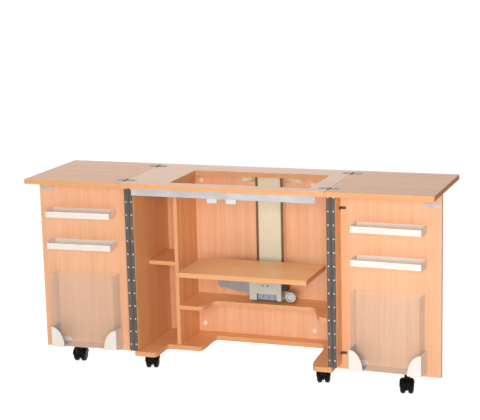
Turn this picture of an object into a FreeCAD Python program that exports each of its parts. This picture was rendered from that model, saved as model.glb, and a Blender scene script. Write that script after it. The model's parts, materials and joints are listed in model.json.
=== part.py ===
import FreeCAD
import Part
import math
import os

os.makedirs("parts", exist_ok=True)
V = FreeCAD.Vector

# Driving sizes, millimetres. X runs along the cabinet, Y to the back, Z up; the origin is on the floor below
# the centre.
work_height = 775.0
top_thick = 19.0
top_depth = 450.0
centre_width = 810.0
seam_gap = 1.0
board = 16.0
base_thick = 19.0
castor_height = 66.0
side_overhang = 2.0
front_setback = 82.0
back_overhang = 10.0
door_gap = 3.0
door_reveal = 1.0
leaf_rest_gap = 0.6
door_ajar = 2.5

# Outline of the base and the lower shelf, seen from above.
bay_inside = 110.0
base_left_straight = 77.0
base_left_bend = 24.0
base_right_straight = 60.0
base_right_bend = 67.0
base_plateau_long = 94.0
base_recess_start = 121.0
shelf_plateau_long = 89.0
shelf_recess_start = 152.0
shelf_recess_end = 137.0
shelf_right_straight = 44.0
base_left_reach = 32.0
base_middle_reach = 36.0
shelf_left_reach = 56.0
right_reach = 55.0
plateau_from_front = 125.0
base_recess_from_back = 68.0
shelf_recess_from_back = 129.0
shelf_right_from_front = 101.0
shelf_top = 249.0
bay_shelf_top = 424.0
board_inset = 10.0

# Opening for the machine, and its lift.
lift_x = 56.0
aperture_half = 276.0
aperture_from_front = 50.0
aperture_from_back = 123.0
aperture_radius = 8.0
platform_side_gap = 17.0
platform_end_gap = 8.5
platform_thick = 19.0
platform_top_low = 423.0
column_offset = 8.0
column_width = 114.0
column_deep = 31.0
column_wall = 3.0
column_top_gap = 6.0
track_wide = 13.0
track_groove = 2.0
wing_half = 125.0
wing_tall = 18.0
wing_drop = 26.0
wing_screw_x = 107.0
foot_half = 85.0
foot_screw_x = 70.0
slide_clear = 0.5
carriage_wall = 8.5
carriage_skin = 4.0
carriage_tall = 139.0
carriage_back_gap = 11.0
window_tall = 26.0
window_left = 36.0
window_right = 48.0
peephole_radius = 3.5
peephole_x = 10.0
peephole_drop = 79.0
lock_wide = 22.0
lock_deep = 40.0
lock_tall = 98.0
lug_thick = 6.0
lug_tall = 30.0
lug_setback = 52.0
knob_radius = 22.5
knob_deep = 30.0
knob_round = 4.0
knob_stem = 5.0
knob_from_side = 34.0
knob_above_low = 15.0
knob_gap = 8.0
lug_margin = 14.0
arm_plate = 3.0
arm_long = 199.0
arm_end_tall = 97.0
arm_root_tall = 117.0
arm_round = 14.0
arm_flange = 34.0
flange_inset = 8.0
rib_x = 58.0
rib_reach = 153.0
rib_tall = 60.0
rib_end_tall = 12.0

# Hinges.
piano_axis_out = 2.7
piano_axis_front = 1.5
piano_leaf = 1.2
piano_knuckle = 2.4
piano_pin = 1.2
piano_width = 14.5
piano_joints = 13
piano_screw_rows = 13
piano_screw_from_top = 17.0
piano_screw_from_base = 27.4
pin_fit = 0.03
flap_plate_long = 38.0
flap_plate_wide = 36.0
flap_plate_thick = 2.0
flap_knuckle = 3.0
flap_pin = 1.5
flap_axis_up = 0.5
flap_from_edge = 65.0
flap_neck = 6.0
flap_play = 0.4
knuckle_play = 0.2
flap_screw_near = 14.0
flap_screw_far = 30.0
flap_screw_side = 10.0

# Countersunk screws: length, shank radius, head radius.
flap_screw = [14.0, 1.5, 3.2]
hinge_screw = [16.0, 1.5, 3.2]
lift_screw = [15.0, 2.0, 4.2]
platform_screw = [14.0, 2.0, 4.2]
base_screw = [50.0, 2.5, 5.0]
side_screw = [45.0, 2.5, 5.0]
screw_from_end = 40.0
screw_from_corner = 60.0

# What the doors carry.
tray_start = 76.0
tray_long = 268.0
tray_deep = 78.0
tray_front_tall = 24.0
tray_back_tall = 27.0
tray_round = 19.0
tray_wall = 2.5
tray_heights = [615.0, 488.0]
bin_start = 72.0
bin_long = 266.0
bin_deep = 75.0
bin_lift = 5.0
bin_tall = 293.0
bin_wall = 2.5
bin_round = 18.0
bin_play = 2.5
bracket_wall = 3.0
bracket_wide = 53.0
bracket_tall = 81.0
angle_leg = 20.0
angle_tall = 10.0
angle_thick = 2.0
angle_from_top = 70.4
angle_from_base = 40.0
catch_plate_long = 58.0
catch_plate_tall = 14.0
catch_plate_drop = 32.4
catch_plate_inset = 6.0

# Rail, catches and caps.
rail_inset = 37.0
rail_clear = 3.0
rail_tall = 30.5
rail_deep = 24.0
rail_thick = 2.0
catch_long = 40.0
catch_deep = 10.0
catch_tall = 29.0
catch_drop = 18.0
cap_radius = 9.0
cap_thick = 4.0
cap_round = 1.5
cap_from_partition = 26.0
cap_above_base = 35.0
cap_below_top = 38.0

# Castors.
wheel_radius = 28.0
wheel_wide = 20.5
wheel_round = 9.5
wheel_trail = 24.0
web_half = 4.0
web_drop = 9.0
neck_radius = 11.0
neck_low = 10.0
hood_wall = 2.8
hood_round = 12.0
hood_edge = 4.0
hood_side = 1.8
hood_lip = 7.0
wheel_clear = 1.2
wheel_gap = 0.4
axle_radius = 3.0
stem_radius = 4.0
stem_long = 15.0
castor_from_side = 48.0
castor_from_front = 51.0
castor_from_back = 50.0
door_castor_inset = 132.5
carcass_castor_turn = 105.0
left_castor_turn = 97.0
right_castor_turn = -79.0

# Levels and planes that follow from the sizes above.
top_under = work_height - top_thick
base_top = castor_height + base_thick
half_depth = top_depth / 2
half_carcass = centre_width / 2 - side_overhang
door_width = half_carcass - door_gap
inside_x = half_carcass - board
front_y = front_setback - half_depth
back_y = half_depth - back_overhang
back_inner_y = back_y - board
plateau_y = front_y + plateau_from_front
base_recess_y = back_y - base_recess_from_back
shelf_recess_y = back_y - shelf_recess_from_back
shelf_right_y = front_y + shelf_right_from_front
aperture_front = aperture_from_front - half_depth
aperture_back = half_depth - aperture_from_back
seam_x = centre_width / 2
piano_x = half_carcass + piano_axis_out
piano_y = front_y - piano_axis_front
door_x = half_carcass + 2 * piano_axis_out
stile_deep = front_setback - board - 2 * piano_axis_front - door_reveal
panel_y = front_y + stile_deep
door_top = top_under - leaf_rest_gap
stile_bottom = base_top + 2
partition_x = -inside_x + bay_inside
platform_half = aperture_half - platform_side_gap
platform_y0 = aperture_front + platform_end_gap
platform_y1 = aperture_back - platform_end_gap
platform_under = platform_top_low - platform_thick
bin_bottom = base_top + bin_lift


def box(x0, x1, y0, y1, z0, z1):
    return Part.makeBox(x1 - x0, y1 - y0, z1 - z0, V(x0, y0, z0))


def rod(radius, start, end):
    a = V(*start)
    b = V(*end)
    return Part.makeCylinder(radius, (b - a).Length, a, b - a)


def mirrored(shape):
    return shape.mirror(V(0, 0, 0), V(1, 0, 0))


def both(shape):
    return [shape, mirrored(shape)]


def swung(shape):
    """A copy turned about the right door's pin, as far as the open door stands forward of the front."""
    turned = shape.copy()
    turned.rotate(V(piano_x, piano_y, 0), V(0, 0, 1), -door_ajar)
    return turned


def fused(shapes):
    whole = shapes[0]
    for shape in shapes[1:]:
        whole = whole.fuse(shape)
    return whole.removeSplitter()


def save(name, shapes):
    group = shapes if isinstance(shapes, list) else [shapes]
    solids = [solid for shape in group for solid in shape.Solids]
    whole = solids[0] if len(solids) == 1 else Part.makeCompound(solids)
    whole.exportStep("parts/" + name + ".step")


def screw(head, along, length, radius, head_radius):
    """A countersunk screw whose flat head lies at the point head and whose shank runs along the direction."""
    start = V(*head)
    way = V(*along)
    way.normalize()
    cone = Part.makeCone(head_radius, radius, head_radius - radius, start, way)
    shank = Part.makeCylinder(radius, length, start, way)
    return cone.fuse(shank).removeSplitter()


def bend(p0, p1, p2, p3):
    curve = Part.BezierCurve()
    curve.setPoles([V(p[0], p[1], 0) for p in (p0, p1, p2, p3)])
    return curve.toShape()


def plate(edges, z0, z1):
    face = Part.Face(Part.Wire(edges))
    face.translate(V(0, 0, z0))
    return face.extrude(V(0, 0, z1 - z0))


def line(p, q):
    return Part.makeLine(V(p[0], p[1], 0), V(q[0], q[1], 0))


def s_bend(p, q, reach):
    """A curve that leaves p along +X and arrives at q along +X."""
    return bend(p, (p[0] + reach, p[1]), (q[0] - reach, q[1]), q)


def path(points, bends):
    """Edges through the points in turn; a step listed in bends is an S-curve with that reach."""
    edges = []
    for i in range(len(points)):
        p = points[i]
        q = points[(i + 1) % len(points)]
        edges.append(s_bend(p, q, bends[i]) if i in bends else line(p, q))
    return edges


# Carcass boards.
base_front_left = -half_carcass + base_left_straight
base_front_right = half_carcass - base_right_straight
base_points = [
    (-half_carcass, front_y), (base_front_left, front_y),
    (base_front_left + base_left_bend, plateau_y), (partition_x + base_plateau_long, plateau_y),
    (partition_x + base_recess_start, base_recess_y), (base_front_right - base_right_bend, base_recess_y),
    (base_front_right, front_y), (half_carcass, front_y),
    (half_carcass, back_y), (-half_carcass, back_y)]
base_bends = {1: base_left_reach, 3: base_middle_reach, 5: right_reach}
base = plate(path(base_points, base_bends), castor_height, base_top)

shelf_points = [
    (partition_x + board, plateau_y), (partition_x + shelf_plateau_long, plateau_y),
    (partition_x + shelf_recess_start, shelf_recess_y), (inside_x - shelf_recess_end, shelf_recess_y),
    (inside_x - shelf_right_straight, shelf_right_y), (inside_x, shelf_right_y),
    (inside_x, back_inner_y), (partition_x + board, back_inner_y)]
shelf_under = shelf_top - board
lower_shelf = plate(path(shelf_points, {1: shelf_left_reach, 3: right_reach}), shelf_under, shelf_top)

side = box(inside_x, half_carcass, front_y, back_y, base_top, top_under)
back_panel = box(-inside_x, inside_x, back_inner_y, back_y, base_top, top_under)
partition = box(partition_x, partition_x + board, plateau_y + board_inset, back_inner_y, base_top, top_under)
bay_shelf = box(-inside_x, partition_x, plateau_y + board_inset, back_inner_y,
                bay_shelf_top - board, bay_shelf_top)

# Top: a centre board with the opening, and two leaves.
centre_half = seam_x - seam_gap / 2
leaf_start = seam_x + seam_gap / 2
leaf_end = 2 * seam_x - seam_gap / 2
aperture = box(lift_x - aperture_half, lift_x + aperture_half, aperture_front, aperture_back,
               top_under - 1, work_height + 1)
aperture = aperture.makeFillet(aperture_radius, [e for e in aperture.Edges
                                                 if abs(e.Vertexes[0].Z - e.Vertexes[1].Z) > 1])
centre = box(-centre_half, centre_half, -half_depth, half_depth, top_under, work_height).cut(aperture)
leaf = box(leaf_start, leaf_end, -half_depth, half_depth, top_under, work_height)

# Flush flap hinges between the centre board and the leaves.
flap_z = work_height + flap_axis_up
knuckle_long = flap_plate_wide / 3
fixed_plates = []
leaf_plates = []
flap_pins = []
fixed_flap_screws = []
leaf_flap_screws = []
for y in (flap_from_edge - half_depth, half_depth - flap_from_edge):
    y0 = y - flap_plate_wide / 2
    y1 = y + flap_plate_wide / 2
    plate_z = work_height - flap_plate_thick
    groove = rod(flap_knuckle + flap_play, (seam_x, y0 - flap_play, flap_z), (seam_x, y1 + flap_play, flap_z))
    bore = rod(flap_pin, (seam_x, y0 - 1, flap_z), (seam_x, y1 + 1, flap_z))
    free_bore = rod(flap_pin + pin_fit, (seam_x, y0 - 1, flap_z), (seam_x, y1 + 1, flap_z))
    fixed = box(seam_x - flap_plate_long, seam_x, y0, y1, plate_z, work_height).cut(groove)
    moving = box(seam_x, seam_x + flap_plate_long, y0, y1, plate_z, work_height).cut(groove)
    for k in range(3):
        a = y0 + k * knuckle_long + (knuckle_play if k else 0)
        b = y0 + (k + 1) * knuckle_long - (knuckle_play if k < 2 else 0)
        barrel = rod(flap_knuckle, (seam_x, a, flap_z), (seam_x, b, flap_z))
        if k == 1:
            neck = box(seam_x, seam_x + flap_neck, a, b, plate_z, work_height)
            moving = moving.fuse(neck).fuse(barrel)
        else:
            neck = box(seam_x - flap_neck, seam_x, a, b, plate_z, work_height)
            fixed = fixed.fuse(neck).fuse(barrel)
    for x in (flap_screw_near, flap_screw_far):
        for dy in (-flap_screw_side, flap_screw_side):
            fixed_flap_screws.append(screw((seam_x - x, y + dy, work_height), (0, 0, -1), *flap_screw))
            leaf_flap_screws.append(screw((seam_x + x, y + dy, work_height), (0, 0, -1), *flap_screw))
    fixed_plates.append(fixed.cut(bore).removeSplitter())
    leaf_plates.append(moving.cut(free_bore).removeSplitter())
    flap_pins.append(rod(flap_pin, (seam_x, y0, flap_z), (seam_x, y1, flap_z)))
    centre = centre.cut(Part.makeCompound(both(fixed_plates[-1].fuse(groove))))
    leaf = leaf.cut(leaf_plates[-1].fuse(groove))
fixed_plates = [p.cut(Part.makeCompound(fixed_flap_screws)) for p in fixed_plates]
leaf_plates = [p.cut(Part.makeCompound(leaf_flap_screws)) for p in leaf_plates]
centre = centre.cut(Part.makeCompound(fixed_flap_screws + [mirrored(s) for s in fixed_flap_screws]))
leaf = leaf.cut(Part.makeCompound(leaf_flap_screws))

# Full-height piano hinges of the doors.
hinge_z0 = stile_bottom
hinge_z1 = door_top
joint_long = (hinge_z1 - hinge_z0) / piano_joints
leaf_in = half_carcass
leaf_out = door_x
fixed_leaf = box(leaf_in - piano_width, leaf_in, front_y - piano_leaf, front_y, hinge_z0, hinge_z1)
door_leaf = box(leaf_out, leaf_out + piano_width, front_y - piano_leaf, front_y, hinge_z0, hinge_z1)
fixed_bits = [fixed_leaf]
door_bits = [door_leaf]
for k in range(piano_joints):
    a = hinge_z0 + k * joint_long + (knuckle_play if k else 0)
    b = hinge_z0 + (k + 1) * joint_long - (knuckle_play if k < piano_joints - 1 else 0)
    barrel = rod(piano_knuckle, (piano_x, piano_y, a), (piano_x, piano_y, b))
    if k % 2 == 0:
        fixed_bits += [box(leaf_in, piano_x, front_y - piano_leaf, front_y, a, b), barrel]
    else:
        door_bits += [box(piano_x, leaf_out, front_y - piano_leaf, front_y, a, b), barrel]
pin_line = [(piano_x, piano_y, hinge_z0), (piano_x, piano_y, hinge_z1)]
piano_rod = rod(piano_pin, *pin_line)
fixed_leaf = fused(fixed_bits).cut(piano_rod)
door_leaf = fused(door_bits).cut(rod(piano_pin + pin_fit, *pin_line))
fixed_screws = []
door_screws = []
first_row = hinge_z1 - piano_screw_from_top
last_row = hinge_z0 + piano_screw_from_base
for k in range(piano_screw_rows):
    z = first_row + (last_row - first_row) * k / (piano_screw_rows - 1)
    y = front_y - piano_leaf
    fixed_screws.append(screw((half_carcass - board / 2, y, z), (0, 1, 0), *hinge_screw))
    door_screws.append(screw((door_x + board / 2, y, z), (0, 1, 0), *hinge_screw))
fixed_leaf = fixed_leaf.cut(Part.makeCompound(fixed_screws))
door_leaf = door_leaf.cut(Part.makeCompound(door_screws))
side = side.cut(Part.makeCompound(fixed_screws))

# Door: panel, deep stile on the hinge side, two angle brackets, two trays, a bin in corner brackets.
door_panel = box(door_x, door_x + door_width, panel_y, panel_y + board, castor_height, door_top)
stile = box(door_x, door_x + board, front_y, panel_y, stile_bottom, door_top)
stile = stile.cut(Part.makeCompound(door_screws))
stile_brackets = []
angle_x = door_x + board
for z in (door_top - angle_from_top, base_top + angle_from_base):
    corner = box(angle_x, angle_x + angle_leg, panel_y - angle_leg, panel_y, z, z + angle_tall)
    hollow = box(angle_x + angle_thick, angle_x + angle_leg, panel_y - angle_leg, panel_y - angle_thick,
                 z, z + angle_tall)
    stile_brackets.append(corner.cut(hollow))


def tray(z):
    """A moulded tray: straight front, bottom turning up in a round towards the door."""
    def profile(inset, top_up):
        back = panel_y - inset
        front = panel_y - tray_deep + inset
        low = z + inset
        r = tray_round - inset
        k = r * (1 - math.sqrt(0.5))
        x = door_x + tray_start + inset
        a = V(x, back, z + tray_back_tall + top_up)
        b = V(x, back, low + r)
        c = V(x, back - r, low)
        d = V(x, front, low)
        e = V(x, front, z + tray_front_tall + top_up)
        turn = Part.Arc(b, V(x, back - k, low + k), c).toShape()
        edges = [Part.makeLine(a, b), turn, Part.makeLine(c, d), Part.makeLine(d, e), Part.makeLine(e, a)]
        return Part.Face(Part.Wire(edges)).extrude(V(tray_long - 2 * inset, 0, 0))
    return profile(0, 0).cut(profile(tray_wall, 20.0))


trays = [tray(z) for z in tray_heights]


def scooped(x0, x1, y0, y1, z0, z1, radius):
    """A box whose lower edge on the side of the door panel is rounded."""
    blank = box(x0, x1, y0, y1, z0, z1)
    heel = [e for e in blank.Edges if e.BoundBox.XLength > 1 and abs(e.BoundBox.YMin - y1) < 0.01
            and abs(e.BoundBox.ZMax - z0) < 0.01]
    return blank.makeFillet(radius, heel)


bin_x0 = door_x + bin_start
bin_x1 = bin_x0 + bin_long
bin_y0 = panel_y - bin_deep
bin_top = bin_bottom + bin_tall
bin_outer = scooped(bin_x0, bin_x1, bin_y0, panel_y, bin_bottom, bin_top, bin_round)
bin_inner = scooped(bin_x0 + bin_wall, bin_x1 - bin_wall, bin_y0 + bin_wall, panel_y - bin_wall,
                    bin_bottom + bin_wall,
                    bin_top + 1, bin_round - bin_wall)
bin_box = bin_outer.cut(bin_inner)
bin_room = scooped(bin_x0 - bin_play, bin_x1 + bin_play, bin_y0, panel_y, bin_bottom, bin_top, bin_round)
bin_brackets = []
bracket_y = bin_y0 - bracket_wall
bracket_z = bin_bottom - bracket_wall
bracket_out = bin_play + bracket_wall
round_pull = 0.55
for corner_x, way in ((bin_x0 - bracket_out, 1), (bin_x1 + bracket_out, -1)):
    corner = V(corner_x, bracket_y, bracket_z)
    tip = V(corner_x + way * bracket_wide, bracket_y, bracket_z)
    crown = V(corner_x, bracket_y, bracket_z + bracket_tall)
    curve = Part.BezierCurve()
    curve.setPoles([tip, tip + V(0, 0, round_pull * bracket_tall),
                    crown + V(way * round_pull * bracket_wide, 0, 0),
                    crown])
    edges = [Part.makeLine(corner, tip), curve.toShape(), Part.makeLine(crown, corner)]
    blank = Part.Face(Part.Wire(edges)).extrude(V(0, bin_deep + bracket_wall, 0))
    shell = scooped(bin_x0 - bracket_out, bin_x1 + bracket_out, bracket_y, panel_y, bracket_z, bin_top,
                    bin_round + bracket_wall)
    bin_brackets.append(blank.common(shell).cut(bin_room))
plate_x = door_x + door_width - catch_plate_inset
plate_top = door_top - catch_plate_drop
catch_plate = box(plate_x - catch_plate_long, plate_x, panel_y - angle_thick, panel_y,
                  plate_top - catch_plate_tall, plate_top)

# Rail under the front of the centre board, door catches, white caps on the back panel.
rail_half = half_carcass - rail_inset
closed_panel_y = front_y - 2 * piano_axis_front - stile_deep
rail_y = closed_panel_y + rail_clear
rail = box(-rail_half, rail_half, rail_y, rail_y + rail_thick, top_under - rail_tall, top_under)
rail = rail.fuse(box(-rail_half, rail_half, rail_y, rail_y + rail_deep, top_under - rail_thick, top_under))
rail = rail.removeSplitter()
catch_x = half_carcass - door_width + (catch_plate_long + 2 * catch_plate_inset) / 2
catch = box(catch_x - catch_long / 2, catch_x + catch_long / 2,
            rail_y + rail_thick, rail_y + rail_thick + catch_deep,
            top_under - catch_drop - catch_tall, top_under - catch_drop)
caps = []
cap_y = back_inner_y - cap_thick
cap_x = -(partition_x + board + cap_from_partition)
for x in (-cap_x, cap_x):
    for z in (base_top + cap_above_base, top_under - cap_below_top):
        cap = Part.makeCylinder(cap_radius, cap_thick, V(x, back_inner_y, z), V(0, -1, 0))
        far_rim = [e for e in cap.Edges if abs(e.BoundBox.YMax - cap_y) < 0.01]
        caps.append(cap.makeFillet(cap_round, far_rim))

# Lift: fixed column on the back panel, carriage around it, arms and the platform, locking knob.
column_x = lift_x + column_offset


def lift_box(x0, x1, y0, y1, z0, z1):
    return box(column_x + x0, column_x + x1, y0, y1, z0, z1)


wing_y = back_inner_y - column_wall
column_y = wing_y - column_deep
column_top = top_under - column_top_gap
half_column = column_width / 2
half_face = half_column - track_wide
half_hollow = half_column - column_wall
column = lift_box(-half_column, half_column, column_y, wing_y, shelf_top, column_top)
column = column.cut(lift_box(-half_hollow, half_hollow, column_y + column_wall, wing_y - column_wall,
                             shelf_top, column_top))
for x in (-half_face - track_groove, half_face):
    column = column.cut(lift_box(x, x + track_groove, column_y, column_y + track_groove,
                                 shelf_top, column_top))
wing_z = top_under - wing_drop
foot_z = shelf_top + wing_tall / 2
wing = lift_box(-wing_half, wing_half, wing_y, back_inner_y, wing_z - wing_tall / 2, wing_z + wing_tall / 2)
foot = lift_box(-foot_half, foot_half, wing_y, back_inner_y, shelf_top, shelf_top + wing_tall)
column = column.fuse(wing).fuse(foot).removeSplitter()
column_screws = []
for reach, z in ((wing_screw_x, wing_z), (foot_screw_x, foot_z)):
    for x in (column_x - reach, column_x + reach):
        column_screws.append(screw((x, wing_y, z), (0, 1, 0), *lift_screw))
column = column.cut(Part.makeCompound(column_screws))
back_panel = back_panel.cut(Part.makeCompound(column_screws))

half_slot = half_column + slide_clear
half_carriage = half_slot + carriage_wall
half_room = half_carriage - carriage_skin
carriage_y0 = aperture_back - platform_end_gap
carriage_y1 = wing_y - carriage_back_gap
skin_y = carriage_y0 + carriage_skin
carriage_top = platform_under - arm_plate
carriage_low = carriage_top - carriage_tall
slot_y = column_y - slide_clear
carriage = lift_box(-half_carriage, half_carriage, carriage_y0, carriage_y1, carriage_low, carriage_top)
carriage = carriage.cut(lift_box(-half_slot, half_slot, slot_y, carriage_y1, carriage_low, carriage_top))
carriage = carriage.cut(lift_box(-half_room, half_room, skin_y, slot_y - carriage_skin,
                                 carriage_low, carriage_top - carriage_skin))
carriage = carriage.cut(lift_box(-window_left, window_right, carriage_y0, skin_y,
                                 carriage_low, carriage_low + window_tall))
peephole_z = carriage_top - peephole_drop
for x in (column_x - peephole_x, column_x + peephole_x):
    peephole = rod(peephole_radius, (x, carriage_y0 - 1, peephole_z), (x, skin_y + 1, peephole_z))
    carriage = carriage.cut(peephole)
knob_x = column_x + half_carriage + knob_from_side
knob_z = carriage_low + knob_above_low
lug_y = carriage_y0 + lug_setback
lug = box(column_x + half_carriage - carriage_skin / 2, knob_x + lug_margin, lug_y, lug_y + lug_thick,
          carriage_low, carriage_low + lug_tall)
lock = lift_box(half_carriage, half_carriage + lock_wide, skin_y, skin_y + lock_deep,
                carriage_top - lock_tall, carriage_top)
knob_bore = rod(knob_stem + pin_fit, (knob_x, lug_y - 1, knob_z), (knob_x, lug_y + lug_thick + 1, knob_z))
carriage = carriage.fuse(lug).fuse(lock).cut(knob_bore).removeSplitter()
knob = Part.makeCylinder(knob_radius, knob_deep, V(knob_x, lug_y - knob_deep - knob_gap, knob_z), V(0, 1, 0))
knob = knob.makeFillet(knob_round, [e for e in knob.Edges if e.BoundBox.YLength < 0.01])
knob_axle = rod(knob_stem, (knob_x, lug_y - knob_gap - 2, knob_z), (knob_x, lug_y + lug_thick + 3, knob_z))
knob = knob.fuse(knob_axle).removeSplitter()

platform = box(lift_x - platform_half, lift_x + platform_half, platform_y0, platform_y1,
               platform_under, platform_top_low)
arm_y = carriage_y0 + 2 * arm_plate
arm_reach = platform_half - flange_inset
arm_points = [(-arm_long, platform_under), (-arm_long, platform_under - arm_end_tall),
              (-half_carriage, platform_under - arm_root_tall), (-half_carriage, platform_under)]
arm_poly = [V(column_x + x, arm_y - arm_plate, z) for x, z in arm_points]
arms = Part.Face(Part.makePolygon(arm_poly + [arm_poly[0]])).extrude(V(0, arm_plate, 0))
arm_toe = [e for e in arms.Edges if abs(e.BoundBox.XMax - arm_poly[1].x) < 0.01
           and abs(e.BoundBox.ZMax - arm_poly[1].z) < 0.01]
arms = arms.makeFillet(arm_round, arm_toe)
arms = arms.fuse(box(lift_x - arm_reach, lift_x + arm_reach, arm_y - arm_flange, arm_y,
                     carriage_top, platform_under))
for x in (column_x - rib_x, column_x + rib_x):
    rib = [V(x, carriage_y0, platform_under), V(x, carriage_y0, platform_under - rib_tall),
           V(x, carriage_y0 - rib_reach, platform_under - rib_end_tall),
           V(x, carriage_y0 - rib_reach, platform_under)]
    arms = arms.fuse(Part.Face(Part.makePolygon(rib + [rib[0]])).extrude(V(arm_plate, 0, 0)))
arms = arms.removeSplitter()
platform_screws = []
for fraction in (-0.8, -0.4, 0.4, 0.8):
    spot = (lift_x + fraction * arm_reach, arm_y - 0.6 * arm_flange, carriage_top)
    platform_screws.append(screw(spot, (0, 0, 1), *platform_screw))
arms = arms.cut(Part.makeCompound(platform_screws))
platform = platform.cut(Part.makeCompound(platform_screws))

# Assembly screws of the carcass.
carcass_screws = []
side_middle = half_carcass - board / 2
for y in (front_y + screw_from_end, (front_y + back_y) / 2, back_y - screw_from_end):
    for x in (-side_middle, side_middle):
        carcass_screws.append(screw((x, y, castor_height), (0, 0, 1), *base_screw))
for z in (base_top + screw_from_corner, (base_top + top_under) / 2, top_under - screw_from_corner):
    for s in (-1, 1):
        carcass_screws.append(screw((s * half_carcass, back_y - board / 2, z), (-s, 0, 0), *side_screw))
for y in (shelf_right_y + screw_from_corner, back_inner_y - screw_from_end):
    carcass_screws.append(screw((half_carcass, y, shelf_top - board / 2), (-1, 0, 0), *side_screw))
    carcass_screws.append(screw((partition_x, y, shelf_top - board / 2), (1, 0, 0), *side_screw))
    carcass_screws.append(screw((-half_carcass, y, bay_shelf_top - board / 2), (1, 0, 0), *side_screw))
all_screws = Part.makeCompound(carcass_screws)
base = base.cut(all_screws)
left_side = mirrored(side).cut(all_screws)
right_side = side.cut(all_screws)
back_panel = back_panel.cut(all_screws)
lower_shelf = lower_shelf.cut(all_screws)
partition = partition.cut(all_screws)
bay_shelf = bay_shelf.cut(all_screws)

# Twin-wheel castors; each is built trailing along +X and then turned.
axle_z = wheel_radius
wheel_in = web_half + wheel_gap
wheel_out = wheel_in + wheel_wide
room_half = wheel_out + wheel_clear
hood_half = room_half + hood_side
hood_in = wheel_radius + wheel_clear
hood_out = hood_in + hood_wall
far = 100.0


def castor(x, y, degrees):
    def across(radius, y0, y1):
        return rod(radius, (wheel_trail, y0, axle_z), (wheel_trail, y1, axle_z))

    def barrel(radius, y0, y1, fillet):
        blank = across(radius, y0, y1)
        return blank.makeFillet(fillet, [e for e in blank.Edges if e.BoundBox.YLength < 0.01])

    shell = barrel(hood_out, -hood_half, hood_half, hood_round)
    shell = shell.common(box(-far, far, -far, far, axle_z + hood_edge, far))
    neck = rod(neck_radius, (0, 0, axle_z + neck_low), (0, 0, castor_height - 0.5))
    room = barrel(hood_in, -room_half, room_half, hood_round - hood_wall)
    room = room.fuse(across(hood_in - hood_lip, -far, far)).cut(across(hood_in, -web_half, web_half))
    web = across(hood_in + 1, -web_half, web_half)
    web = web.common(box(-far, far, -far, far, axle_z - web_drop, far))
    stem = rod(stem_radius, (0, 0, castor_height - 2), (0, 0, castor_height + stem_long))
    hood = shell.fuse(neck).cut(room).fuse(web).fuse(stem)
    hood = hood.cut(across(axle_radius + pin_fit, -far, far)).removeSplitter()
    tyre = barrel(wheel_radius, wheel_in, wheel_out, wheel_round)
    axle = across(axle_radius, -wheel_in - 1, wheel_in + 1)
    wheels = tyre.fuse(axle).fuse(tyre.mirror(V(0, 0, 0), V(0, 1, 0))).removeSplitter()
    for shape in (hood, wheels):
        shape.rotate(V(0, 0, 0), V(0, 0, 1), degrees)
        shape.translate(V(x, y, 0))
    return hood, wheels


socket_long = stem_long + 1
castor_x = half_carcass - castor_from_side
castor_front_y = front_y + castor_from_front
castor_rear_y = back_y - castor_from_back
door_castor_x = door_x + door_width - door_castor_inset
door_castor_y = panel_y + board / 2
door_spot = swung(Part.Vertex(door_castor_x, door_castor_y, 0)).Point
castors = {
    "front_left": castor(-castor_x, castor_front_y, carcass_castor_turn),
    "front_right": castor(castor_x, castor_front_y, carcass_castor_turn),
    "rear_left": castor(-castor_x, castor_rear_y, carcass_castor_turn),
    "rear_right": castor(castor_x, castor_rear_y, carcass_castor_turn),
    "left_door": castor(-door_spot.x, door_spot.y, left_castor_turn),
    "right_door": castor(door_spot.x, door_spot.y, right_castor_turn)}


def socket(x, y):
    return rod(stem_radius + pin_fit, (x, y, castor_height), (x, y, castor_height + socket_long))


for x in (-castor_x, castor_x):
    for y in (castor_front_y, castor_rear_y):
        base = base.cut(socket(x, y))
door_panel = door_panel.cut(socket(door_castor_x, door_castor_y))

# One file for each node.
save("base_panel", base)
save("left_side_panel", left_side)
save("right_side_panel", right_side)
save("back_panel", back_panel)
save("lower_shelf", lower_shelf)
save("bay_partition", partition)
save("bay_shelf", bay_shelf)
save("centre_top", centre)
save("front_rail", rail)
save("door_catches", both(catch))
save("back_panel_caps", caps)
save("carcass_screws", carcass_screws + column_screws)
save("lift_column", column)
save("door_hinge_fixed_leaves", both(fixed_leaf))
save("door_hinge_pins", both(piano_rod))
save("door_hinge_fixed_screws", fixed_screws + [mirrored(s) for s in fixed_screws])
save("flap_hinge_fixed_plates", fixed_plates + [mirrored(p) for p in fixed_plates])
save("flap_hinge_pins", flap_pins + [mirrored(p) for p in flap_pins])
save("flap_hinge_fixed_screws", fixed_flap_screws + [mirrored(s) for s in fixed_flap_screws])
save("machine_platform", platform)
save("platform_arms", arms)
save("platform_screws", platform_screws)
save("lift_carriage", carriage)
save("lift_lock_knob", knob)
handed = {
    "_door_panel": [door_panel], "_door_stile": [stile], "_door_hinge_leaf": [door_leaf],
    "_door_hinge_screws": door_screws, "_stile_brackets": stile_brackets, "_door_trays": trays,
    "_door_bin": [bin_box], "_bin_brackets": bin_brackets, "_catch_plate": [catch_plate]}
handed = {name: [swung(s) for s in shapes] for name, shapes in handed.items()}
handed.update({
    "_leaf_board": [leaf], "_leaf_hinge_plates": leaf_plates, "_leaf_hinge_screws": leaf_flap_screws})
for name, shapes in handed.items():
    save("right" + name, shapes)
    save("left" + name, [mirrored(s) for s in shapes])
for place, (hood, wheels) in castors.items():
    save(place + "_castor_hood", hood)
    save(place + "_castor_wheels", wheels)
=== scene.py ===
# %% [markdown]
# # A rolling sewing cabinet
# The cabinet is beech-faced board with steel hinges, white moulded trays, clear bins and black castors. Its
# solids are loaded first. Each later step gives one kind of piece its finish, or builds the piece again
# with the rounded edges and small parts that catch the light.

# %% Load the frame
import bpy
import bmesh
import json
import math
from mathutils import Matrix, Vector

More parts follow.
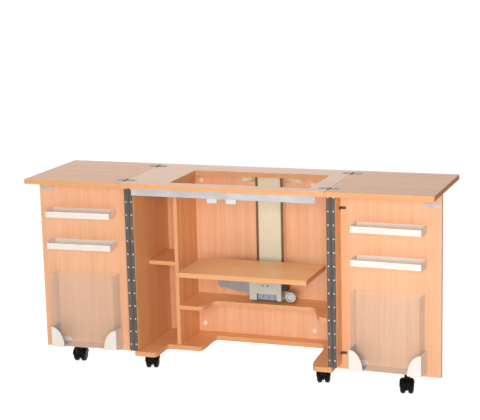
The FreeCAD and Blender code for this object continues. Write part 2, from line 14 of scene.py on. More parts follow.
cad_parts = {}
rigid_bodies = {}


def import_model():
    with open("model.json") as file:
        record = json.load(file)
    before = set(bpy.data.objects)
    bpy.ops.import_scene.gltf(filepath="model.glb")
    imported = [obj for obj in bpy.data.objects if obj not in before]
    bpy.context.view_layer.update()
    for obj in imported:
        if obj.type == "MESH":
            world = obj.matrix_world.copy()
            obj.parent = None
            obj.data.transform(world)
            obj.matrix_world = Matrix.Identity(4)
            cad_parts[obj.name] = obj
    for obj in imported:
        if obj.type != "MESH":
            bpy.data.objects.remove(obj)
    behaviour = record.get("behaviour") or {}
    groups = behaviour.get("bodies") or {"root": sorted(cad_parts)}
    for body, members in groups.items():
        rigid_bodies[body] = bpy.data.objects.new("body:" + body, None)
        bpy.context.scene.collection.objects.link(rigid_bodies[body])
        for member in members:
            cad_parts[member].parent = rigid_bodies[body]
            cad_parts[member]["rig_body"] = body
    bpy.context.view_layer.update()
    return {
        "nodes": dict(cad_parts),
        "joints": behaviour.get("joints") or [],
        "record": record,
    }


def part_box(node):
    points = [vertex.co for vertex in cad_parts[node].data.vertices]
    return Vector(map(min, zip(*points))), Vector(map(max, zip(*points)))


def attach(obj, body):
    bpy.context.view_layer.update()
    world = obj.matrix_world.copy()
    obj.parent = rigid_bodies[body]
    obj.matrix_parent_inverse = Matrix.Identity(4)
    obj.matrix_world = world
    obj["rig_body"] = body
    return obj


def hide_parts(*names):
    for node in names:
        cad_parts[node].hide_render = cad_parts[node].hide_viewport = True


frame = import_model()
node = frame["nodes"]
body_of_node = {n: o["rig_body"] for n, o in node.items()}
slot_of_node = {s["node"]: s["material_slot"] for s in frame["record"]["subparts"]}

# %% [markdown]
# ## The camera
# A photograph is matched by the place and the turn of its camera. These were worked out from the corners of
# the top, the doors and the castors, so the cabinet falls on the same pixels. A long lens from five metres
# away keeps the verticals nearly straight. A Track To constraint could aim the camera, but it leaves no
# roll, so the three turns are written out as a matrix.

# %% Camera
photo_width = 480
focal_pixels = 1439.4
camera_place = Vector((1.8549, -5.1301, 1.7572))
camera_yaw = math.radians(-19.88)
camera_pitch = math.radians(11.53)
camera_roll = math.radians(1.39)

ahead = Vector((math.sin(camera_yaw) * math.cos(camera_pitch), math.cos(camera_yaw) * math.cos(camera_pitch),
                -math.sin(camera_pitch)))
level_right = Vector((math.cos(camera_yaw), -math.sin(camera_yaw), 0))
level_down = ahead.cross(level_right)
right = math.cos(camera_roll) * level_right + math.sin(camera_roll) * level_down
down = math.cos(camera_roll) * level_down - math.sin(camera_roll) * level_right
camera_data = bpy.data.cameras.new("camera")
camera_data.sensor_fit = "HORIZONTAL"
camera_data.sensor_width = 36
camera_data.lens = focal_pixels * camera_data.sensor_width / photo_width
camera = bpy.data.objects.new("camera", camera_data)
camera.matrix_world = Matrix.Translation(camera_place) @ Matrix((right, -down, -ahead)).transposed().to_4x4()
scene = bpy.context.scene
scene.collection.objects.link(camera)
scene.camera = camera
print("lens:", round(camera_data.lens, 1), "mm")

# %% [markdown]
# ## Light
# Catalogue light comes mostly from the front and low, so upright faces and the inside are bright and faces
# that look sideways are dark. A picture of a room could light the scene, but lamps need no file and can be
# tuned one by one. One soft lamp right of the middle gives the front light. A weaker one behind and above
# lights the top, and a dim world fills the rest. The room is paler on the left, so this fill fades to the
# right. Rays from the camera, from gloss and through clear plastic see the world as white, and gloss
# doesn't show the lamps.

# %% Light
scene.view_settings.view_transform = "Standard"
world_left = 0.40
world_right = 0.12
white = (1.0, 1.0, 1.0, 1.0)


def seen_directly(tree):
    """A value that is 1 for rays that look at a thing straight, in a mirror or through glass."""
    path = tree.nodes.new("ShaderNodeLightPath")
    first = tree.nodes.new("ShaderNodeMath")
    first.operation = "MAXIMUM"
    second = tree.nodes.new("ShaderNodeMath")
    second.operation = "MAXIMUM"
    tree.links.new(path.outputs["Is Camera Ray"], first.inputs[0])
    tree.links.new(path.outputs["Is Glossy Ray"], first.inputs[1])
    tree.links.new(first.outputs[0], second.inputs[0])
    tree.links.new(path.outputs["Is Transmission Ray"], second.inputs[1])
    return second.outputs[0]


def ranged(tree, value, old, new):
    """The value moved from an old range to a new one."""
    step = tree.nodes.new("ShaderNodeMapRange")
    step.inputs["From Min"].default_value, step.inputs["From Max"].default_value = old
    step.inputs["To Min"].default_value, step.inputs["To Max"].default_value = new
    tree.links.new(value, step.inputs["Value"])
    return step.outputs["Result"]


def lit_world():
    """A white world that is seen at full strength and lights the cabinet dimly, less from the right."""
    world = bpy.data.worlds.new("pale_studio")
    world.use_nodes = True
    tree = world.node_tree
    background = tree.nodes["Background"]
    background.inputs["Color"].default_value = white
    way = tree.nodes.new("ShaderNodeSeparateXYZ")
    tree.links.new(tree.nodes.new("ShaderNodeTexCoord").outputs["Generated"], way.inputs[0])
    fill = ranged(tree, way.outputs["X"], (-1, 1), (world_left, world_right))
    strength = tree.nodes.new("ShaderNodeMix")
    tree.links.new(seen_directly(tree), strength.inputs["Factor"])
    tree.links.new(fill, strength.inputs["A"])
    strength.inputs["B"].default_value = 1.0
    tree.links.new(strength.outputs["Result"], background.inputs["Strength"])
    scene.world = world


def lamp(name, place, target, size, power):
    """A square lamp that looks at a target."""
    data = bpy.data.lights.new(name, "AREA")
    data.size = size
    data.energy = power
    lamp_object = bpy.data.objects.new(name, data)
    lamp_object.location = place
    lamp_object.rotation_euler = (Vector(target) - Vector(place)).to_track_quat("-Z", "Y").to_euler()
    lamp_object.visible_glossy = False
    scene.collection.objects.link(lamp_object)


lit_world()
lamp("front_lamp", place=(1.0, -3.8, 1.1), target=(0, 0, 0.45), size=1.8, power=113)
lamp("top_lamp", place=(-0.4, 0.7, 2.7), target=(-0.2, 0.1, 0.77), size=2.2, power=22)
print("world from", world_left, "on the left to", world_right, "on the right")

# %% [markdown]
# ## Floor
# The cabinet stands on a plain pale sheet that keeps its shadow. A shadow catcher could do that too, but it
# has to be laid over a background afterwards. This sheet takes light as any surface does, and glows as well
# for the rays that see the world as white, so it runs into the background without a line.

# %% Floor
floor_glow = 0.80
floor_half = 40.0
floor_drop = 0.0004
floor_grey = 0.86
floor_roughness = 0.9
floor_specular = 0.1


def grey(level):
    return (level, level, level, 1.0)


def new_material(name, colour, roughness, metallic=0.0, specular=0.5):
    """A plain material, with its tree and its shader for what is added to it."""
    material = bpy.data.materials.new(name)
    material.use_nodes = True
    shader = material.node_tree.nodes["Principled BSDF"]
    shader.inputs["Base Color"].default_value = colour
    shader.inputs["Roughness"].default_value = roughness
    shader.inputs["Metallic"].default_value = metallic
    shader.inputs["Specular IOR Level"].default_value = specular
    return material, material.node_tree, shader


def pale_floor():
    """A wide sheet just under the castors, which glows for rays that see it directly."""
    mesh = bpy.data.meshes.new("floor")
    h = floor_half
    mesh.from_pydata([(-h, -h, 0), (h, -h, 0), (h, h, 0), (-h, h, 0)], [], [(0, 1, 2, 3)])
    floor = bpy.data.objects.new("floor", mesh)
    floor.location.z = -floor_drop
    scene.collection.objects.link(floor)
    material, tree, shader = new_material("floor_white", grey(floor_grey), floor_roughness,
                                          specular=floor_specular)
    shader.inputs["Emission Color"].default_value = white
    glow = ranged(tree, seen_directly(tree), (0, 1), (0, floor_glow))
    tree.links.new(glow, shader.inputs["Emission Strength"])
    mesh.materials.append(material)


pale_floor()
print("floor:", 2 * floor_half, "m wide,", 1000 * floor_drop, "mm under the wheels")

# %% [markdown]
# ## Beech-faced board
# The boards are chipboard with a printed beech face and an edge strip of a stronger orange. Beech has broad
# soft bands, fine streaks and short dark flecks, all along the grain. A picture of beech could be mapped on,
# but three stretched noises need no file and show no repeat. Which faces are edges is read from the
# surface's own direction, so one material serves a whole board, and the rounded corner between a face and
# its strip gets the thin dark line of the glue. The helpers that all finishes share come first.

# %% Helpers for finishes
black = (0.0, 0.0, 0.0, 1.0)
axis_index = {"X": 0, "Y": 1, "Z": 2}


def linear(r, g, b):
    """A screen colour of 0 to 255 as the linear colour that a shader wants."""
    def one(c):
        c = c / 255
        return c / 12.92 if c <= 0.04045 else ((c + 0.055) / 1.055) ** 2.4
    return (one(r), one(g), one(b), 1.0)


def stretched_noise(tree, scale, detail, seed_shift=0.0, distortion=0.0):
    """A noise on the piece's own coordinates, with one scale for each axis."""
    place = tree.nodes.new("ShaderNodeTexCoord")
    mapping = tree.nodes.new("ShaderNodeMapping")
    mapping.inputs["Scale"].default_value = scale
    mapping.inputs["Location"].default_value = (seed_shift, seed_shift * 1.7, seed_shift * 0.6)
    noise = tree.nodes.new("ShaderNodeTexNoise")
    noise.inputs["Scale"].default_value = 1.0
    noise.inputs["Detail"].default_value = detail
    noise.inputs["Distortion"].default_value = distortion
    tree.links.new(place.outputs["Object"], mapping.inputs["Vector"])
    tree.links.new(mapping.outputs["Vector"], noise.inputs["Vector"])
    return noise.outputs["Fac"]


def ramp(tree, value, stops):
    """The value turned into colours, by stops of a place and a colour."""
    mapped = tree.nodes.new("ShaderNodeValToRGB")
    while len(mapped.color_ramp.elements) < len(stops):
        mapped.color_ramp.elements.new(0.5)
    for element, (at, colour) in zip(mapped.color_ramp.elements, stops):
        element.position = at
        element.color = colour
    tree.links.new(value, mapped.inputs["Fac"])
    return mapped.outputs["Color"]


def mixed(tree, factor, a, b, blend="MIX"):
    """Two colours mixed. The sockets go by number, because those for colours share their names."""
    mix = tree.nodes.new("ShaderNodeMix")
    mix.data_type = "RGBA"
    mix.blend_type = blend
    for socket, value in ((mix.inputs[0], factor), (mix.inputs[6], a), (mix.inputs[7], b)):
        if isinstance(value, (tuple, float)):
            socket.default_value = value
        else:
            tree.links.new(value, socket)
    return mix.outputs[2]


def bump(tree, shader, value, strength, distance):
    """Fine relief from a value."""
    relief = tree.nodes.new("ShaderNodeBump")
    relief.inputs["Strength"].default_value = strength
    relief.inputs["Distance"].default_value = distance
    tree.links.new(value, relief.inputs["Height"])
    tree.links.new(relief.outputs["Normal"], shader.inputs["Normal"])


def along(axis, with_grain, across):
    """A noise scale for each axis, with one for the way of the grain."""
    scale = [across] * 3
    scale[axis_index[axis]] = with_grain
    return tuple(scale)


def scaled(colour, factor):
    """The colour made darker or lighter."""
    return tuple(c * factor for c in colour[:3]) + (1.0,)


def facing(tree, axis):
    """How squarely the surface looks along one axis of its board, 0 to 1."""
    place = tree.nodes.new("ShaderNodeTexCoord")
    parts = tree.nodes.new("ShaderNodeSeparateXYZ")
    size = tree.nodes.new("ShaderNodeMath")
    size.operation = "ABSOLUTE"
    tree.links.new(place.outputs["Normal"], parts.inputs["Vector"])
    tree.links.new(parts.outputs[axis], size.inputs[0])
    return size.outputs[0]


def varied_gloss(tree, shader, value, low, high):
    """Roughness that wanders between two levels with a noise."""
    tree.links.new(ranged(tree, value, (0, 1), (low, high)), shader.inputs["Roughness"])


print("a screen grey of 128 is", round(linear(128, 128, 128)[0], 3), "in linear light")

# %% Beech
band_scale = (0.8, 36.0)
streak_scale = (3.0, 130.0)
fleck_scale = (70.0, 760.0)
strip_roughness = 0.68
beech_edge = linear(239, 175, 122)


def beech(name, face_axis, grain_axis, seed, light, dark, gloss, specular=0.55):
    """Beech-faced board whose broad faces look along face_axis and whose grain runs along grain_axis."""
    material, tree, shader = new_material(name, light, gloss, 0.0, specular)
    bands = stretched_noise(tree, along(grain_axis, *band_scale), 3.0, seed, 0.5)
    streaks = stretched_noise(tree, along(grain_axis, *streak_scale), 3.0, seed + 3.3, 0.2)
    flecks = stretched_noise(tree, along(grain_axis, *fleck_scale), 1.0, seed + 7.7)
    face = ramp(tree, bands, [(0.32, dark), (0.66, light)])
    face = mixed(tree, ramp(tree, streaks, [(0.46, black), (0.72, grey(0.5))]), face, scaled(dark, 0.86))
    face = mixed(tree, ramp(tree, flecks, [(0.60, black), (0.74, grey(0.3))]), face, scaled(dark, 0.60))
    strip = ramp(tree, streaks, [(0.30, scaled(beech_edge, 0.88)), (0.70, beech_edge)])
    look = facing(tree, face_axis)
    is_face = ramp(tree, look, [(0.60, black), (0.82, white)])
    board = mixed(tree, is_face, strip, face)
    glue_line = ramp(tree, look, [(0.56, black), (0.66, grey(0.45)), (0.76, grey(0.45)), (0.94, black)])
    tree.links.new(mixed(tree, glue_line, board, scaled(dark, 0.55)), shader.inputs["Base Color"])
    face_gloss = ramp(tree, streaks, [(0.0, grey(gloss - 0.06)), (1.0, grey(gloss + 0.08))])
    tree.links.new(mixed(tree, is_face, grey(strip_roughness), face_gloss), shader.inputs["Roughness"])
    bump(tree, shader, flecks, 0.05, 0.0004)
    return material


# Painted light and shade: the doors, back, top and leaves have the beech's own colours. The side boards get a
# darker, more saturated copy as painted shade, and the shelves a paler copy as painted light.
door_light, door_dark = linear(244, 190, 150), linear(238, 179, 136)
inner_shaded_pale, inner_shaded_deep = linear(240, 180, 124), linear(230, 164, 107)
shelf_lit_pale, shelf_lit_deep = linear(252, 200, 145), linear(246, 187, 128)
shaded_side_beech = beech("beech_shaded_side", "X", "Z", 2.3, inner_shaded_pale, inner_shaded_deep, 0.40)
front_board = beech("beech_front", "Y", "Z", 5.9, door_light, door_dark, 0.40)
lit_shelf_beech = beech("beech_lit_shelf", "Z", "X", 9.1, shelf_lit_pale, shelf_lit_deep, 0.38)
top_board = beech("beech_top", "Z", "X", 12.7, door_light, door_dark, 0.20, 0.44)
leaf_board = beech("beech_leaf", "Z", "X", 15.2, door_light, door_dark, 0.24, 0.10)
leaf_ends = beech("beech_leaf_ends", "Z", "X", 15.2, door_light, door_dark, 0.24, 0.04)
beech_boards = (shaded_side_beech, front_board, lit_shelf_beech, top_board, leaf_board, leaf_ends)
print("beech made:", [board.name for board in beech_boards])

# %% [markdown]
# ## Metals and plastics
# The hinges are plated steel with a fine brushed streak, the rail is satin aluminium, the lift is painted.
# Moulded plastic has a very faint orange-peel skin. The shader's anisotropy could give the brushed look, but
# a noise stretched along the brush marks is kept when the finish is baked. The clear plastic has a low alpha
# and isn't true glass, because a thin wall barely bends light. Most finishes get a small change of roughness
# over their surface, since an even gloss looks unreal.

# %% Metal and plastic materials
brush_scale = (9.0, 900.0)
wear_scale = (14.0, 14.0, 14.0)
skin_scale = (700.0, 700.0, 700.0)
tint_scale = (22.0, 22.0, 22.0)
clear_tint_scale = (30.0, 30.0, 9.0)
clear_roughness = 0.06


def streaked_metal(name, light, dark, roughness, streak_axis, metallic=1.0):
    """Metal with brush marks along one axis and soft clouds of wear."""
    material, tree, shader = new_material(name, light, roughness, metallic)
    streak = stretched_noise(tree, along(streak_axis, *brush_scale), 2.0, 1.3)
    cloud = stretched_noise(tree, wear_scale, 3.0, 4.2)
    base = ramp(tree, streak, [(0.32, dark), (0.68, light)])
    worn = ramp(tree, cloud, [(0.35, grey(0.82)), (0.65, white)])
    tree.links.new(mixed(tree, 1.0, base, worn, "MULTIPLY"), shader.inputs["Base Color"])
    varied_gloss(tree, shader, streak, roughness - 0.07, roughness + 0.09)
    bump(tree, shader, streak, 0.06, 0.0002)
    return material


def moulded_plastic(name, colour, roughness, specular=0.5):
    """Plastic or paint with a faint orange-peel skin."""
    material, tree, shader = new_material(name, colour, roughness, 0.0, specular)
    skin = stretched_noise(tree, skin_scale, 2.0, 2.5)
    cloud = stretched_noise(tree, tint_scale, 2.0, 8.1)
    tint = ramp(tree, cloud, [(0.3, scaled(colour, 0.94)), (0.7, colour)])
    tree.links.new(tint, shader.inputs["Base Color"])
    varied_gloss(tree, shader, cloud, roughness - 0.06, roughness + 0.08)
    bump(tree, shader, skin, 0.04, 0.0003)
    return material


def clear_plastic(name, colour, alpha):
    """Thin clear plastic, seen by its gloss and a slight tint."""
    material, tree, shader = new_material(name, colour, clear_roughness)
    shader.inputs["Alpha"].default_value = alpha
    cloud = stretched_noise(tree, clear_tint_scale, 2.0, 5.5)
    tint = ramp(tree, cloud, [(0.3, scaled(colour, 0.93)), (0.7, colour)])
    tree.links.new(tint, shader.inputs["Base Color"])
    return material


hinge_steel = streaked_metal("hinge_steel", linear(122, 113, 105), linear(86, 78, 71), 0.48, "Z", 0.7)
flap_steel = streaked_metal("flap_steel", linear(160, 152, 140), linear(112, 105, 96), 0.4, "X", 0.8)
rail_metal = streaked_metal("rail_aluminium", linear(214, 211, 212), linear(194, 191, 193), 0.42, "X", 0.55)
screw_steel = streaked_metal("screw_steel", linear(232, 230, 228), linear(196, 194, 192), 0.25, "X")
knob_metal = streaked_metal("knob_metal", linear(206, 206, 198), linear(168, 168, 160), 0.30, "Y", 0.8)
arm_steel = streaked_metal("arm_steel", linear(166, 163, 164), linear(136, 134, 138), 0.45, "X", 0.5)
# The lift's two paints differ in hue, and also as painted light and shade: the column's cream is made paler
# for the light through the top's opening, and the carriage's grey darker for the shade under the platform.
lift_cream_lit_paint = moulded_plastic("lift_cream_lit_paint", linear(231, 224, 196), 0.42)
carriage_grey_shaded_paint = moulded_plastic("carriage_grey_shaded_paint", linear(197, 195, 184), 0.42)
white_plastic = moulded_plastic("white_plastic", linear(245, 236, 226), 0.36)
black_plastic = moulded_plastic("black_plastic", linear(6, 6, 7), 0.34, 0.13)
dark_plastic = moulded_plastic("dark_plastic", linear(58, 47, 36), 0.45, 0.3)
shade_strip_brown = moulded_plastic("shade_strip_brown", linear(124, 95, 65), 0.45, 0.3)
catch_white = moulded_plastic("catch_white", linear(222, 217, 210), 0.4)
clear_bin = clear_plastic("clear_bin", linear(250, 247, 243), 0.04)
# Painted highlight: a denser, paler clear finish for the bins' edges, which gather light.
clear_highlight_edge = clear_plastic("clear_highlight_edge", linear(240, 236, 230), 0.22)
print("finishes made:", len(bpy.data.materials))

# %% [markdown]
# ## Boards with broken edges
# A real edge is never knife sharp: a band is trimmed to about a millimetre of round, and that line of light
# is what makes a board look solid. A Bevel modifier would also round the short edges of every hole, so
# bmesh picks the edges here: the board's mesh is copied, its loose triangles are joined, and its long outward
# edges get a small bevel. The copy then stands for the board. The strips on the ends of the leaves are matt,
# so they get a finish of their own.

# %% Rounded copies
shortest_edge = 0.003
sharp_angle = math.radians(38)
flat_angle = math.radians(0.5)
same_place = 1e-6


def rounded_copy(name, width, segments=2):
    """A copy of a node's mesh with its long outward edges rounded."""
    bm = bmesh.new()
    bm.from_mesh(node[name].data)
    bmesh.ops.remove_doubles(bm, verts=bm.verts, dist=same_place)
    bmesh.ops.dissolve_limit(bm, angle_limit=flat_angle, verts=bm.verts, edges=bm.edges)
    edges = [e for e in bm.edges if len(e.link_faces) == 2 and e.is_convex
             and e.calc_face_angle() > sharp_angle and e.calc_length() > shortest_edge]
    bmesh.ops.bevel(bm, geom=edges, offset=width, segments=segments, profile=0.5, affect="EDGES",
                    clamp_overlap=True)
    bmesh.ops.triangulate(bm, faces=[f for f in bm.faces if len(f.verts) > 4])
    mesh = bpy.data.meshes.new(name + "_piece")
    bm.to_mesh(mesh)
    bm.free()
    return mesh


def evenly_shaded(mesh):
    """The mesh with normals weighted by area, so a large face stays flat up to its rounded edge."""
    holder = bpy.data.objects.new("holder", mesh)
    scene.collection.objects.link(holder)
    weighted = holder.modifiers.new("weighted", "WEIGHTED_NORMAL")
    weighted.keep_sharp = True
    bpy.context.view_layer.update()
    result = bpy.data.meshes.new_from_object(holder.evaluated_get(bpy.context.evaluated_depsgraph_get()))
    bpy.data.objects.remove(holder)
    return result


def add_piece(name, mesh, material, body, shade_angle=None):
    """Puts a mesh in the scene on a body, with a finish of a slot."""
    mesh.materials.clear()
    mesh.materials.append(material)
    if shade_angle:
        mesh.shade_smooth()
        mesh.set_sharp_from_angle(angle=math.radians(shade_angle))
        mesh = evenly_shaded(mesh)
    piece = bpy.data.objects.new(name, mesh)
    scene.collection.objects.link(piece)
    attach(piece, body)
    return piece


def stand_for(name, mesh, material, shade_angle=None):
    """Puts a mesh in the scene in place of a node, on the node's body and with the finish it is given."""
    piece = add_piece(name + "_piece", mesh, material, body_of_node[name], shade_angle)
    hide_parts(name)
    return piece


def paint(piece, material, chosen):
    """Gives a second finish to the faces that chosen picks."""
    piece.data.materials.append(material)
    for face in piece.data.polygons:
        if chosen(face):
            face.material_index = len(piece.data.materials) - 1


print("sharp edges longer than", 1000 * shortest_edge, "mm get rounded")

# %% Boards
boards = {
    shaded_side_beech: ["left_side_panel", "right_side_panel", "bay_partition",
                 "left_door_stile", "right_door_stile"],
    front_board: ["back_panel", "left_door_panel", "right_door_panel"],
    lit_shelf_beech: ["base_panel", "lower_shelf", "bay_shelf", "machine_platform"],
    top_board: ["centre_top"],
    leaf_board: ["left_leaf_board", "right_leaf_board"]}
board_round = 0.0010
board_crease = 32
square_on = 0.98
for material, names in boards.items():
    for name in names:
        board = stand_for(name, rounded_copy(name, board_round), material, board_crease)
        if material == leaf_board:
            paint(board, leaf_ends, lambda face: abs(face.normal.x) > square_on)
print("boards:", sum(len(names) for names in boards.values()))

# %% [markdown]
# ## Trays, bins and brackets
# The trays and the bin brackets are moulded in white, with soft edges. They could be modelled afresh, but
# their solids have the right walls already, so copies with rounder edges are enough. The bins are clear
# boxes. A clear wall shows little, but its edges gather light and read as pale lines, so every rounded edge,
# the rim, the bottom band and the end walls get a denser, paler finish that is a painted highlight. The bin
# is drawn in by a hair, because two faces in one plane flicker.

# %% Trays, bins and brackets
hands = ("left", "right")
mould_round = 0.0011
mould_crease = 40
bin_round = 0.0009
plate_round = 0.0006
thin_area = 2.5e-4
bin_play = 0.0003
rim_highlight_band = 1.5 * bin_round
floor_highlight_band = 4 * bin_round
for hand in hands:
    for name in (hand + "_door_trays", hand + "_bin_brackets"):
        stand_for(name, rounded_copy(name, mould_round, 3), white_plastic, mould_crease)
    name = hand + "_door_bin"
    shell = rounded_copy(name, bin_round, 3)
    for vertex, normal in zip(shell.vertices, [v.normal.copy() for v in shell.vertices]):
        vertex.co -= bin_play * normal
    clear = stand_for(name, shell, clear_bin, mould_crease)
    rim_z = max(v.co.z for v in clear.data.vertices) - rim_highlight_band
    floor_z = min(v.co.z for v in clear.data.vertices) + floor_highlight_band
    # Painted highlight: the rim, the bottom band, the end walls and the thin rounded faces get the denser,
    # paler finish.
    paint(clear, clear_highlight_edge, lambda face: face.center.z > rim_z or face.center.z < floor_z
          or abs(face.normal.x) > square_on
          or (max(abs(c) for c in face.normal) < square_on and face.area < thin_area))
    name = hand + "_catch_plate"
    stand_for(name, rounded_copy(name, plate_round), rail_metal, mould_crease)
stand_for("front_rail", rounded_copy("front_rail", plate_round), rail_metal, mould_crease)
print("moulded pieces for", len(hands), "doors")

# %% [markdown]
# ## The lift
# A cream column stands on the back panel, with two brown strips of painted shade down its front where shade
# falls in the gaps beside it. A greyer carriage runs on it and carries grey arms under the platform, with a
# dark lock housing at its side and a turned metal knob below. The column's cream is partly painted light and
# the carriage's grey partly painted shade. Behind the window at the carriage's foot sits a blue-grey block
# with three ribs, painted shade that stands in for the shade inside the hollow. The lift could be cut up by
# colour, but faces painted by their place leave each piece whole.

# %% Lift pieces
column_low, column_high = [Vector(c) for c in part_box("lift_column")]
carriage_low, carriage_high = [Vector(c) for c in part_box("lift_carriage")]
column_x = (column_low.x + column_high.x) / 2
lift_crease = 35
shade_strip_inner = 0.0465
shade_strip_outer = 0.058
carriage_half = column_x - carriage_low.x
side_play = 0.0002
lock_tall = 0.098
lock_play = 0.001
shade_strip_deep = 0.004
# Painted shade: a ribbed blue-grey block behind the carriage's window stands in for the shade inside its
# hollow.
shade_block_left, shade_block_right = 0.034, 0.046
shade_block_front, shade_block_back = 0.007, 0.025
shade_block_low, shade_block_high = 0.001, 0.032
shade_block_ribs, shade_block_rib_deep = 3, 0.003
shade_block_blue = moulded_plastic("shade_block_blue", linear(150, 154, 168), 0.4)

column = stand_for("lift_column", rounded_copy("lift_column", plate_round), lift_cream_lit_paint, lift_crease)
# Painted shade: brown strips down the column's front edges, where shade falls in the gaps beside it.
paint(column, shade_strip_brown, lambda face: shade_strip_inner < abs(face.center.x - column_x) < shade_strip_outer
      and face.center.y < column_low.y + shade_strip_deep)
carriage = stand_for("lift_carriage", rounded_copy("lift_carriage", plate_round), carriage_grey_shaded_paint, lift_crease)
paint(carriage, dark_plastic, lambda face: face.center.x > column_x + carriage_half + side_play
      and face.center.z > carriage_high.z - lock_tall - lock_play)
stand_for("platform_arms", rounded_copy("platform_arms", plate_round), arm_steel, lift_crease)


def ribbed_block(x0, x1, y0, y1, z0, z1, ribs, rib_deep):
    """A block whose front has upright ribs."""
    steps = 2 * ribs + 1
    outline = [(x0, y1)]
    for i in range(steps):
        y = y0 + (rib_deep if i % 2 == 0 else 0)
        outline += [(x0 + (x1 - x0) * i / steps, y), (x0 + (x1 - x0) * (i + 1) / steps, y)]
    outline.append((x1, y1))
    count = len(outline)
    points = [(x, y, z) for z in (z0, z1) for x, y in outline]
    faces = [(i, (i + 1) % count, count + (i + 1) % count, count + i) for i in range(count)]
    faces += [tuple(reversed(range(count))), tuple(range(count, 2 * count))]
    mesh = bpy.data.meshes.new("ribbed_block")
    mesh.from_pydata(points, [], faces)
    return mesh


# The block of painted shade behind the carriage's window.
shade_block = ribbed_block(column_x - shade_block_left, column_x + shade_block_right,
                     carriage_low.y + shade_block_front, carriage_low.y + shade_block_back,
                     carriage_low.z + shade_block_low, carriage_low.z + shade_block_high, shade_block_ribs, shade_block_rib_deep)
add_piece("carriage_guide", shade_block, shade_block_blue, body_of_node["lift_carriage"])
print("lift column at x =", round(column_x, 4))

# %% [markdown]
# ## Finishes on the solids that stay
# Pins, hinge leaves, caps and catches keep their solids and only get a finish. They could be rebuilt too,
# but at their size a rounder edge wouldn't show. Each slot has one finish, apart from the hinges of the
# leaves, which are brighter than those of the doors.

# %% Finishes
finish_of_slot = {"hinge_steel": hinge_steel, "screw_steel": screw_steel, "lift_metal": lift_cream_lit_paint,
                  "knob_metal": knob_metal, "castor_black": black_plastic, "white_plastic": white_plastic,
                  "catch_plastic": catch_white, "rail_metal": rail_metal, "clear_plastic": clear_bin,
                  "beech_board": shaded_side_beech, "top_board": top_board}
for name, solid in node.items():
    slot = slot_of_node[name]
    on_leaf = "flap_hinge" in name or "leaf_hinge_plates" in name
    solid.data.materials.clear()
    solid.data.materials.append(flap_steel if on_leaf and slot == "hinge_steel" else finish_of_slot[slot])
print("solids finished:", len(node))

# %% [markdown]
# ## Screws
# Bright cross-head screws hold everything: two long columns on each door hinge, four in each leaf hinge,
# more on the lift and round the carcass. Each solid screw already says where its head is and which way it
# looks, so those are read first. One screw is modelled from listed rings of points, and a Geometry Nodes tree
# puts a copy at every place, turns its cross by chance from a fixed seed, and makes the copies real. A loop
# could place them too, but a tree can be looked at and changed in Blender's editor.

# %% Screw
screw_sides = 12


def cross_screw():
    """A screw of head radius 1 that looks along +Z, with a cross recess and a short shank."""
    arm, half = 0.58, 0.14
    crown, recess_floor, recess_taper = 0.07, -0.20, 0.8
    cross = [(arm, -half), (arm, half), (half, half), (half, arm), (-half, arm), (-half, half),
             (-arm, half), (-arm, -half), (-half, -half), (-half, -arm), (half, -arm), (half, -half)]
    angles = [math.radians(360 / screw_sides * i - 15) for i in range(screw_sides)]
    rings = [[(r * math.cos(a), r * math.sin(a), z) for a in angles]
             for r, z in ((0.40, -4.0), (0.47, -3.6), (0.47, -0.53), (1.0, 0.0), (0.84, crown))]
    rings.append([(x, y, crown) for x, y in cross])
    rings.append([(x * recess_taper, y * recess_taper, recess_floor) for x, y in cross])
    points = [p for ring in rings for p in ring]
    n = screw_sides
    faces = [(n * r + i, n * r + (i + 1) % n, n * r + n + (i + 1) % n, n * r + n + i)
             for r in range(len(rings) - 1) for i in range(n)]
    faces.append(tuple(range(n * len(rings) - n, n * len(rings))))
    faces.append(tuple(reversed(range(n))))
    mesh = bpy.data.meshes.new("cross_screw")
    mesh.from_pydata(points, [], faces)
    return bpy.data.objects.new("cross_screw", mesh)


def screw_places(name):
    """For each screw of a node, the middle of its head, the way it looks and the head's radius."""
    bm = bmesh.new()
    bm.from_mesh(node[name].data)
    bmesh.ops.remove_doubles(bm, verts=bm.verts, dist=same_place)
    seen = set()
    places = []
    for first in bm.verts:
        if first in seen:
            continue
        seen.add(first)
        shape = [first]
        for vertex in shape:
            for edge in vertex.link_edges:
                other = edge.other_vert(vertex)
                if other not in seen:
                    seen.add(other)
                    shape.append(other)
        flats = {}
        for face in dict.fromkeys(f for v in shape for f in v.link_faces):
            flats.setdefault(tuple(round(c, 2) for c in face.normal), []).append(face)
        head = max(flats.values(), key=lambda faces: sum(f.calc_area() for f in faces))
        rim = list(dict.fromkeys(v for f in head for v in f.verts))
        middle = sum((v.co for v in rim), Vector()) / len(rim)
        places.append((middle, head[0].normal.copy(), max((v.co - middle).length for v in rim)))
    bm.free()
    return places


screw_nodes = sorted(name for name in node if name.endswith("screws"))
places_of = {name: screw_places(name) for name in screw_nodes}
print("screws found:", sum(len(places) for places in places_of.values()))

# %% Screw tree
quarter_turn = math.pi / 2


